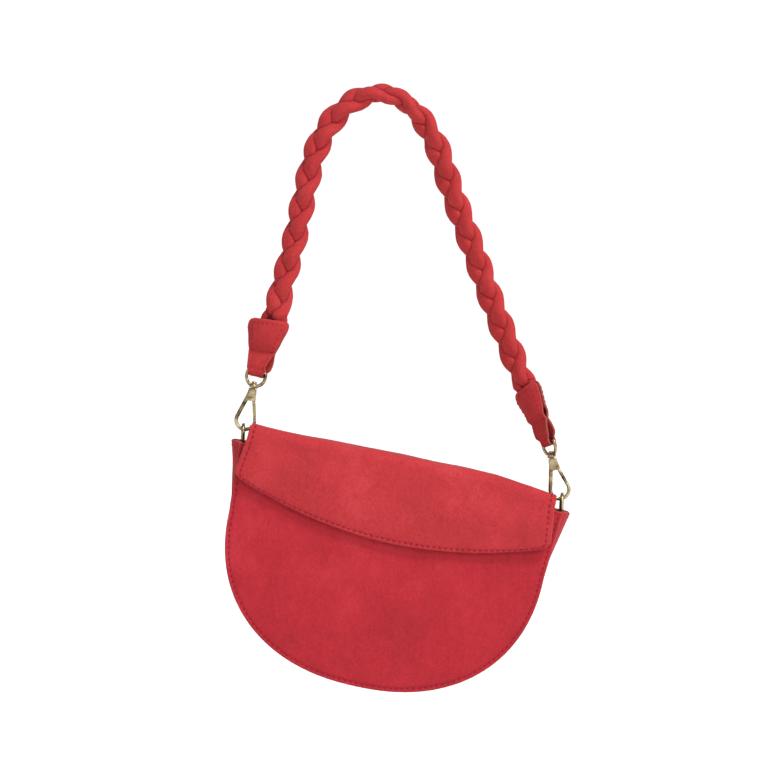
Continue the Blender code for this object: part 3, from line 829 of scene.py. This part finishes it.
def flap_point(y, z, wide, across, share, lift):
    """A point of the flap, how far out it lies, and how far its front swells.

    Across is its place over the width, share how far down the front it is.
    """
    half = NECK_HALF + (FOLD_HALF - NECK_HALF) * clamp(wide)
    half += (LOW_HALF - FOLD_HALF) * min(share * 1.3, 1)
    drop = FLAP_DROP + (FLAP_SIDE_DROP - FLAP_DROP) * across ** 2
    left = (1 - share) * drop
    if left < FLAP_CORNER:
        rest = FLAP_CORNER - left
        half -= FLAP_CORNER - math.sqrt(max(FLAP_CORNER ** 2 - rest ** 2, 0.0))
    if y > PANEL_FACE and z < LAP_CORNER - LAP_DEPTH:
        rest = (LAP_CORNER - LAP_DEPTH - z) / LAP_CORNER
        half -= LAP_CORNER * (1 - math.sqrt(max(1 - rest ** 2, 0.0)))
    over = smooth_step((PANEL_FACE + 2 - y) / 14)
    crown = FLAP_CROWN * (1 - abs(across) ** 2.2) * (1 + CROWN_LEAN * across) * over
    height = (z + crown) * (1 - share) - drop * share
    if wide < 1:
        height -= 1.5 * abs(across) ** 4 * over * (1 - wide)
    x = across * half
    from_side = half * (1 - abs(across))
    edge = min(from_side, left) if share > 0 else from_side
    if wide < 0.9:
        edge = 10
    out = lift - 0.35 * dip(edge, STITCH_INSET, 0.8)
    soft = min(edge / 10, 1) * (0.12 + 0.88 * over)
    out += wander((x, y * 0.5, height), 42, 9.0, 1.3) * soft
    out += wander((x, y, height), 15, 2.0, 0.3) * soft
    curl = 1.4 * share ** 3 + 1.2 * (1 - math.cos(across * 1.2)) * share
    belly = 1.6 * math.sin(math.pi * share) * (1 - across ** 2)
    return Vector((x, y, height)), out, belly - curl


def flap_surface(lift):
    """Rows of points over the whole flap, moved out from its middle by lift."""
    profile = flap_profile()
    rows = []
    for number, (y, z, wide) in enumerate(profile):
        along = slope(profile, number)
        out_way = Vector((0, along.y, -along.x)).normalized()
        if number == len(profile) - 1:
            out_way = -WAYS["Y"]
        row = []
        for across in FLAP_COLUMNS:
            point, out, _ = flap_point(y, z, wide, across, 0.0, lift)
            row.append(point + out_way * out)
        rows.append(row)
    y, z, wide = profile[-1]
    for share in FLAP_SHARES:
        row = []
        for across in FLAP_COLUMNS:
            point, out, swell = flap_point(y, z, wide, across, share, lift)
            row.append(point - WAYS["Y"] * (out + swell))
        rows.append(row)
    for row in rows:
        for point in row:
            fade = smooth_step((PANEL_FACE - 3 - point.y) / 16)
            point[:] = Matrix.Rotation(FLAP_SKEW * fade, 3, "Y") @ point
    return rows


def build_flap():
    surface = flap_surface(FLAP_LEATHER / 2)
    flap = piece("flap_leather", sheet_solid(surface, FLAP_LEATHER, 0.3), [FLAP, EDGE], None,
                 BAG)
    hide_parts("flap_outer")
    rows = [row[2:-2] for row in flap_surface(-1.35)[15:-2]]
    cloth = piece("flap_lining_cloth", sheet_solid(rows, FLAP_CLOTH), [CLOTH], None,
                  BAG)
    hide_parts("flap_lining")
    for bending in (flap, cloth):
        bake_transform(bending)
    cells = [(2, j) for j in range(3, len(FLAP_COLUMNS) - 3)]
    line, normals = seam(surface, cells, FLAP_LEATHER / 2, WAYS["Y"])
    stitches("lap_stitches", line, normals, "bag", BAG)
    front = len(flap_profile())
    rows = [row[6:-6] for row in flap_surface(-0.5)[front - 1:-9]]
    board = piece("flap_board", sheet_solid(rows, FLAP_BOARD), [BOARD], "flap", BAG)
    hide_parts("flap_stiffener")
    fold, low = front - 13, front + FLAP_SHARES.index(0.957)
    left, right = 4, len(FLAP_COLUMNS) - 5
    cells = [(i, left) for i in range(fold, low - 3)]
    cells += [(low, j) for j in range(left + 2, right - 1)]
    cells += [(i, right) for i in range(low - 4, fold - 1, -1)]
    line, normals = seam(surface, cells, FLAP_LEATHER / 2, Vector((0, -1, 0.6)))
    stitches("flap_stitches", line, normals, "flap", BAG)


# ---- rings, hooks and eyes ----

def build_ring(side, frames):
    top = HOOK_WIRE + RING_WIRE + RING_PLAY
    path = arc(Vector((0, 0, top - RING_HALF_WIDTH)), RING_HALF_WIDTH, 0, 180, 28, "YZ")
    inner, low = RING_HALF_WIDTH - RING_BEND, -RING_BAR_DROP + RING_BEND
    path += arc(Vector((0, -inner, low)), RING_BEND, 180, 270, 8, "YZ")
    path += arc(Vector((0, inner, low)), RING_BEND, 270, 360, 8, "YZ")
    ring = brass_piece(f"{side}_d_ring", wire(path, RING_WIRE, closed=True), f"{side}_ring",
                       frames["ring"])
    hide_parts(f"{side}_bag_ring")


def build_ring_tab(side, sign):
    """The leather loop that holds the ring at the gusset's end."""
    lean = math.radians(RING_LEAN)
    bar_x = RING_X + sign * RING_BAR_DROP * math.sin(lean)
    bar_z = -RING_HOLD_DEPTH - RING_BAR_DROP * math.cos(lean)
    end, neck = bar_z - RING_TAB_DEPTH, bar_z - 9
    stops = [Vector((RING_X + 1.2, 0, end)), Vector((RING_X + 2.0, 0, neck))]
    stops += arc(Vector((bar_x, 0, bar_z)), RING_WIRE + 0.85, -30, 210, 14)
    stops += [Vector((RING_X - 0.2, 0, neck)), Vector((RING_X - 0.8, 0, end))]
    widths = [RING_TAB_HALF_WIDTH * (-1 + k / 4) for k in range(9)]
    rows = [[Vector((sign * point.x, y, point.z)) for y in widths]
            for point in smooth_line(stops, 1.0)]
    tab = piece(f"{side}_ring_tab_leather", sheet_solid(rows, RING_TAB_LEATHER), [BODY, EDGE],
                "bag", BAG)
    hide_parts(f"{side}_ring_tab")


def build_eye(side, frames):
    """The swivel's D, swelling into the boss that the post turns in."""
    path = arc(Vector((0, 0, EYE_HALF_WIDTH)), EYE_HALF_WIDTH, 180, 360, 32)
    inner, high = EYE_HALF_WIDTH - EYE_BEND, EYE_HEIGHT - EYE_BEND
    path += arc(Vector((inner, 0, high)), EYE_BEND, 0, 90, 7)
    path += arc(Vector((-inner, 0, high)), EYE_BEND, 90, 180, 7)
    boss = turned_solid([(1.65, -1.25), (2.9, -1.3), (3.15, -0.95), (3.2, 0), (3.0, 0.9),
                         (2.5, 1.3), (1.65, 1.35)])
    solid = together([wire(path, EYE_WIRE, closed=True), boss])
    eye = brass_piece(f"{side}_eye_brass", solid, f"{side}_eye", frames["eye"])
    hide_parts(f"{side}_swivel_eye")


def rounded_block(stations, half_depth):
    """A bar whose half width follows (half width, height) stations, its edges rounded."""
    rings = []
    for half, height in stations:
        bend = min(SHANK_BEND, half * 0.6)
        ring = []
        for cx, cy, start in ((1, 1, 0), (-1, 1, 90), (-1, -1, 180), (1, -1, 270)):
            corner = Vector((cx * (half - bend), cy * (half_depth - bend), height))
            ring += arc(corner, bend, start, start + 90, 4, "XY")
        rings.append(ring)
    return loops(rings)


def build_hook(side, frames):
    """The cast hook: head, post, shank and the bent wire down to the nose."""
    sweep = arc(HOOK_CENTRE, HOOK_ARC, 168, 372, 34)
    start = Vector((-1.9, 0, -6.5))
    path = [start.lerp(sweep[0], k / 7) for k in range(7)] + sweep
    bow = wire(path, lambda t: HOOK_WIRE * (1.12 - 0.2 * t))
    head = turned_solid([(1.9, 1.65), (1.95, 2.1), (1.85, 2.6), (1.3, 3.1), (0.3, 3.2)])
    post = turned_solid([(1.3, -3.5), (1.3, 1.9)], 20)
    shank = rounded_block([(2.0, -1.65), (2.6, -1.9), (2.9, -3.2), (3.2, -6.0), (3.7, -9.2),
                           (3.6, -10.2), (3.1, -10.6)], SHANK_HALF_DEPTH)
    hook = brass_piece(f"{side}_hook_brass", together([bow, head, post, shank]),
                       f"{side}_hook", frames["hook"])
    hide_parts(f"{side}_hook_body")
    rivet = turned_solid([(0.4, -2.55), (0.8, -2.45), (0.95, -2.15), (0.95, 2.15),
                          (0.8, 2.45), (0.4, 2.55)], 20, "Y", GATE_RIVET)
    pin = brass_piece(f"{side}_gate_rivet", rivet, f"{side}_hook", frames["hook"])
    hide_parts(f"{side}_gate_pin")


def build_gate(side, frames):
    """The gate: a round arm with a collar near its tip, where it meets the nose."""
    turn = math.radians(GATE_NOSE)
    tip = HOOK_CENTRE + Vector((math.cos(turn), 0, math.sin(turn))) * HOOK_ARC
    reach = tip - GATE_PIVOT
    along = reach.normalized() * (reach.length - 0.1)
    stations = [(0.0, 0.95), (0.03, 1.1), (0.3, 1.18), (0.6, 1.15), (0.84, 1.12), (0.86, 1.04),
                (0.875, 1.02), (0.89, 1.06), (0.91, 1.18), (0.97, 1.15), (1.0, 0.95)]
    spine = [GATE_PIVOT + along * share for share, _ in stations]
    rings = tube_rings(spine, 1.0, 18)
    for ring, middle, (_, radius) in zip(rings, spine, stations):
        for point in ring:
            point[:] = middle + (point - middle) * radius
    gate = brass_piece(f"{side}_gate_brass", loops(rings), f"{side}_gate", frames["hook"])
    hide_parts(f"{side}_hook_gate")


# ---- the strap ----

TAB_COLUMNS = [-1, -0.97, -0.92, -0.85] + [-0.75 + 0.15 * k for k in range(11)]
TAB_COLUMNS += [0.85, 0.92, 0.97, 1]


def tab_route(length):
    """The strip's middle line, from the front's top down, round the bar and up the back."""
    half_profile = [(4.9, length), (4.95, length - 5), (4.7, length - 11),
                    (3.4, TAB_SEAM + 5), (1.5, TAB_SEAM + 1), (1.15, TAB_SEAM - 1),
                    (2.3, TAB_SEAM - 5), (3.1, 5.0)]
    stops = [Vector((0, -y, z)) for y, z in half_profile]
    stops += [Vector((0, -point.x, point.z)) for point in
              arc(Vector(), TAB_LOOP + TAB_LEATHER / 2, 25, -205, 16)]
    stops += [Vector((0, y, z)) for y, z in reversed(half_profile)]
    return smooth_line(stops, 0.9)


def tab_row(side, point, out, length):
    """The strip's points across it, at one point of its middle line."""
    share = clamp((point.z - 3) / (length - 9))
    half = (TAB_FOOT_WIDTH + (TAB_TOP_WIDTH - TAB_FOOT_WIDTH) * share ** 1.25) / 2
    inner = EYE_HALF_WIDTH - EYE_WIRE - TAB_FOOT_ROOM[side]
    half = inner + (half - inner) * smooth_step((point.z - TAB_FOOT_TOP[side]) / 4)
    near_top = length - point.z
    if near_top < TAB_CORNER:
        half -= TAB_CORNER - math.sqrt(max(TAB_CORNER ** 2 - (TAB_CORNER - near_top) ** 2, 0))
    over_braid = clamp((point.z - TAB_SEAM) / 8)
    opened = smooth_step(point.z / 3.5) * smooth_step((TAB_SEAM - point.z) / 9)
    row = []
    for across in TAB_COLUMNS:
        swell = (1 - across ** 2) * 1.3 * over_braid
        droop = abs(across) ** 3 * (abs(point.y) - 0.8) * over_braid
        groove = 0.28 * dip(half * (1 - abs(across)), 1.9, 0.45)
        if point.z > 4:
            groove += 0.5 * dip(point.z, TAB_SEAM, 0.8) + 0.25 * dip(near_top, 2.2, 0.5)
        soft = wander((across * half, point.y * 3, point.z), 9, 4.0, 0.35)
        soft *= smooth_step((point.z - 2) / 5)
        lift = across * half * TAB_SHEAR[side] * share
        slide = TAB_SLIDE[side] * opened * max(across, 0) * math.copysign(1, point.y)
        row.append(Vector((across * half + slide, point.y, point.z + lift))
                   + out * (swell - droop - groove + soft))
    return row


def build_tab(side, frames):
    """The strip folded round the eye's bar and sewn over the strands' ends."""
    length = TAB_LENGTH + TAB_COVER[side]
    route = tab_route(length)
    rows = []
    for number, point in enumerate(route):
        along = slope(route, number).normalized()
        out = Vector((0, -along.z, along.y))
        if out.y * point.y < 0:
            out.negate()
        rows.append(tab_row(side, point, out, length))
    tab = piece(f"{side}_tab_leather", sheet_solid(rows, TAB_LEATHER, 0.25), [STRAP, EDGE],
                "strap", frames["tab"])
    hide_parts(f"{side}_strap_tab")
    low = next(i for i, point in enumerate(route) if point.z < TAB_SEAM)
    last, left, right = len(rows) - 1, 4, len(TAB_COLUMNS) - 5
    cells = [(i, left) for i in range(low, 3, -1)] + [(3, j) for j in range(left, right + 1)]
    cells += [(i, right) for i in range(4, low + 1)]
    for face, sign in (("front", -1), ("back", 1)):
        if sign > 0:
            cells = [(last - i, j) for i, j in cells]
        line, normals = seam(rows, cells, TAB_LEATHER / 2 - STITCH_RISE, Vector((0, sign, 0)))
        stitches(f"{side}_tab_{face}_stitches", line, normals, "strap", frames["tab"],
                 TAB_PITCH, TAB_THREAD)


def braid_roll(place, tab_across, along, near):
    """The braid's two directions across its line, rolled about it.

    Place is the share of its length. Near a tab the three strands line up with the tab.
    """
    right = Vector((along.z, 0, -along.x)).normalized()
    front = right.cross(along).normalized()
    start, end = ROLL_PLACE
    left_roll, right_roll = BRAID_ROLL
    roll = left_roll + (right_roll - left_roll) * smooth_step((place - start) / (end - start))
    goal = math.degrees(math.atan2(tab_across.dot(front), tab_across.dot(right)))
    change = (goal - roll + 90) % 180 - 90
    roll = math.radians(roll + change * near)
    rolled_right = right * math.cos(roll) + front * math.sin(roll)
    rolled_front = front * math.cos(roll) - right * math.sin(roll)
    return rolled_right, rolled_front


def strand_path(number, route, length, across):
    """One strand's middle line, and the braid's front direction at each point of it."""
    step = length / (len(route) - 1)
    path, fronts = [], []
    for i, here in enumerate(route):
        along = slope(route, i).normalized()
        travel = i * step
        edge = min(travel, length - travel)
        share = (travel - BRAID_STILL) / (length - 2 * BRAID_STILL)
        phase = math.pi / 3 * (BRAID_SIXTHS * clamp(share) - 1)
        phase += 2 * math.pi * number / 3
        flat = smooth_step((BRAID_STILL - edge) / (BRAID_STILL - BRAID_INSIDE - 1))
        sideways = BRAID_SWING * math.sin(phase) * (1 - flat)
        sideways += flat * STRAND_STEP * round(math.sin(phase))
        weave = BRAID_WEAVE * math.sin(2 * phase) * (1 - flat)
        near = 1 - smooth_step((edge - BRAID_STILL) / ROLL_EASE)
        side = "left" if travel < length / 2 else "right"
        right, front = braid_roll(travel / length, across[side], along, near)
        path.append(here + right * sideways + front * weave)
        fronts.append(front)
    return path, fronts


def painted_crease_shade(point, i, others):
    """How much painted shade a point gets from the other strands nearby: 1 where they meet, 0 out
    in the open.
    """
    nearest = math.inf
    for path, sides, fronts in others:
        for k in range(max(i - 6, 0), min(i + 7, len(path))):
            gap = point - path[k]
            wide = gap.dot(sides[k]) / STRAND_HALF_WIDTH
            thick = gap.dot(fronts[k]) / STRAND_HALF_THICK
            along = gap.cross(sides[k]).dot(fronts[k]) / STRAND_HALF_WIDTH
            nearest = min(nearest, math.hypot(wide, thick, along))
    return 1 - smooth_step((nearest - CREASE_SHADE_START) / CREASE_SHADE_REACH)


def strand_lines(tabs):
    """Each strand's middle line with its directions across and to the front, and their spacing."""
    inside = Vector((0, 0, TAB_LENGTH - BRAID_INSIDE)) * MM
    stops = [Vector((x, 0, z)) for x, z in BRAID_ROUTE]
    stops.insert(0, tabs["left"] @ inside / MM)
    stops.append(tabs["right"] @ inside / MM)
    across = {side: tabs[side].to_3x3() @ WAYS["X"] for side in SIDES}
    route = smooth_line(stops, 0.8)
    length = measure(route)[-1]
    lines = []
    for number in range(3):
        path, rough_fronts = strand_path(number, route, length, across)
        sides, fronts = [], []
        for i, front in enumerate(rough_fronts):
            along = slope(path, i).normalized()
            fronts.append((front - along * front.dot(along)).normalized())
            sides.append(along.cross(fronts[-1]))
        lines.append((path, sides, fronts))
    return lines, length / (len(route) - 1)


def build_strands(tabs):
    """Three padded strands, plaited; each presses on the next, so they flatten, and painted shade
    darkens them where they meet.
    """
    lines, step = strand_lines(tabs)
    for number, (path, sides, fronts) in enumerate(lines):
        others = lines[:number] + lines[number + 1:]
        rings, crease_shades = [], []
        for i, here in enumerate(path):
            edge = min(i, len(path) - 1 - i) * step
            held = 1 - 0.38 * (1 - smooth_step((edge - BRAID_INSIDE) / 6))
            ring = []
            for k in range(STRAND_SIDES):
                turn = 2 * math.pi * k / STRAND_SIDES
                wide = swollen(math.cos(turn), 0.85) * STRAND_HALF_WIDTH * held
                thick = swollen(math.sin(turn), 0.9) * STRAND_HALF_THICK * held
                offset = sides[i] * wide + fronts[i] * thick
                pucker = wander((i * step, turn * 3.4, number * 9.0), 2.6, 1.0, 0.14)
                ring.append(here + offset + offset.normalized() * pucker)
                # Painted shade: each point's darkening for lying close to another strand, kept as
                # a vertex attribute for the suede.
                crease_shades.append(painted_crease_shade(ring[-1], i, others))
            rings.append(ring)
        strand = piece(f"padded_strand_{number + 1}", loops(rings), [STRAP], "strap")
        shade = strand.data.attributes.new("crease_shade", "FLOAT", "POINT")
        shade.data.foreach_set("value", crease_shades)
        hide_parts(f"strand_{number + 1}")


# ---- the rest of the CAD nodes, the floor, the light and the camera ----

def finish_cad_nodes():
    looks = {"snap_socket": BRASS, "snap_stud": BRASS, "front_stiffener": BOARD,
             "back_stiffener": BOARD}
    for name, look in looks.items():
        mesh = frame["nodes"][name].data
        mesh.materials.clear()
        mesh.materials.append(look)


def build_stage():
    mesh = bpy.data.meshes.new("floor")
    corners = [(x * FLOOR_REACH, y * FLOOR_REACH, 0)
               for x, y in ((-1, -1), (1, -1), (1, 1), (-1, 1))]
    mesh.from_pydata(corners, [], [(0, 1, 2, 3)])
    floor = added("floor", mesh)
    floor.location.z = cad_box[0][2] - FLOOR_GAP
    look = bpy.data.materials.new("floor_look")
    shader = Graph(look).nodes["Principled BSDF"]
    shader.inputs["Base Color"].default_value = (0.93, 0.93, 0.93, 1)
    shader.inputs["Roughness"].default_value = 0.9
    mesh.materials.append(look)


def build_room():
    """A room that is dimmer behind the bag, and bright and even along the skyline."""
    world = bpy.data.worlds.new("studio")
    bpy.context.scene.world = world
    graph = Graph(world)
    way = graph.node("ShaderNodeTexCoord").outputs["Generated"]
    parts = graph.node("ShaderNodeSeparateXYZ", Vector=way)
    shade = graph.mapped(parts.outputs["Y"], ROOM_TURN, (ROOM_FRONT, ROOM_BACK), "SMOOTHSTEP")
    height = graph.node("ShaderNodeMath")
    height.operation = "ABSOLUTE"
    graph.fill(height.inputs[0], parts.outputs["Z"])
    skyline = graph.mapped(height.outputs["Value"], SKYLINE, (1.0, 0.0), "SMOOTHSTEP")
    even = graph.node("ShaderNodeMix", Factor=skyline, A=shade, B=ROOM_SKYLINE)
    background = graph.nodes["Background"]
    graph.fill(background.inputs["Strength"], even.outputs["Result"])
    background.inputs["Color"].default_value = (1.0, 1.0, 1.0, 1.0)


def add_light(name, kind, way, power):
    """A new light that shines one way, and its data, where its size is set."""
    data = bpy.data.lights.new(name, kind)
    data.energy = power
    lamp = added(name, data)
    lamp.rotation_euler = Vector(way).to_track_quat("-Z", "Y").to_euler()
    return lamp, data


def build_light():
    """A soft high sun, and a broad lamp at the front right."""
    _, sun = add_light("high_sun", "SUN", SUN_WAY, SUN_POWER)
    sun.angle = math.radians(SUN_SIZE)
    way = Vector(LAMP_TARGET) - Vector(LAMP_PLACE)
    lamp, disk = add_light("front_right", "AREA", way, LAMP_POWER)
    lamp.location = LAMP_PLACE
    disk.shape = "DISK"
    disk.size = LAMP_SIZE


def build_camera():
    data = bpy.data.cameras.new("camera")
    data.lens = LENS
    data.sensor_width = SENSOR
    camera = added("camera", data)
    distance = VIEW_WIDTH * LENS / SENSOR
    camera.location = Vector(VIEW_CENTRE) + Vector((0, -distance, 0))
    camera.rotation_euler = (math.radians(90), 0, 0)
    bpy.context.scene.camera = camera


def build_colour():
    """Plain colour, so that the suede keeps its full red."""
    view = bpy.context.scene.view_settings
    view.view_transform = "Standard"
    view.look = "None"


def build():
    build_colour()
    build_camera()
    tabs = {}
    for side, sign in SIDES.items():
        frames = side_frames(side, sign)
        tabs[side] = frames["tab"]
        build_ring(side, frames)
        build_ring_tab(side, sign)
        build_eye(side, frames)
        build_hook(side, frames)
        build_gate(side, frames)
        build_tab(side, frames)
    build_strands(tabs)
    build_panel("front", -1, FRONT_TOP, 2.6, 1.0)
    build_panel("back", 1, BACK_TOP, 1.2, 6.0)
    build_gusset()
    build_lining()
    build_flap()
    finish_cad_nodes()
    build_stage()
    build_room()
    build_light()


build()
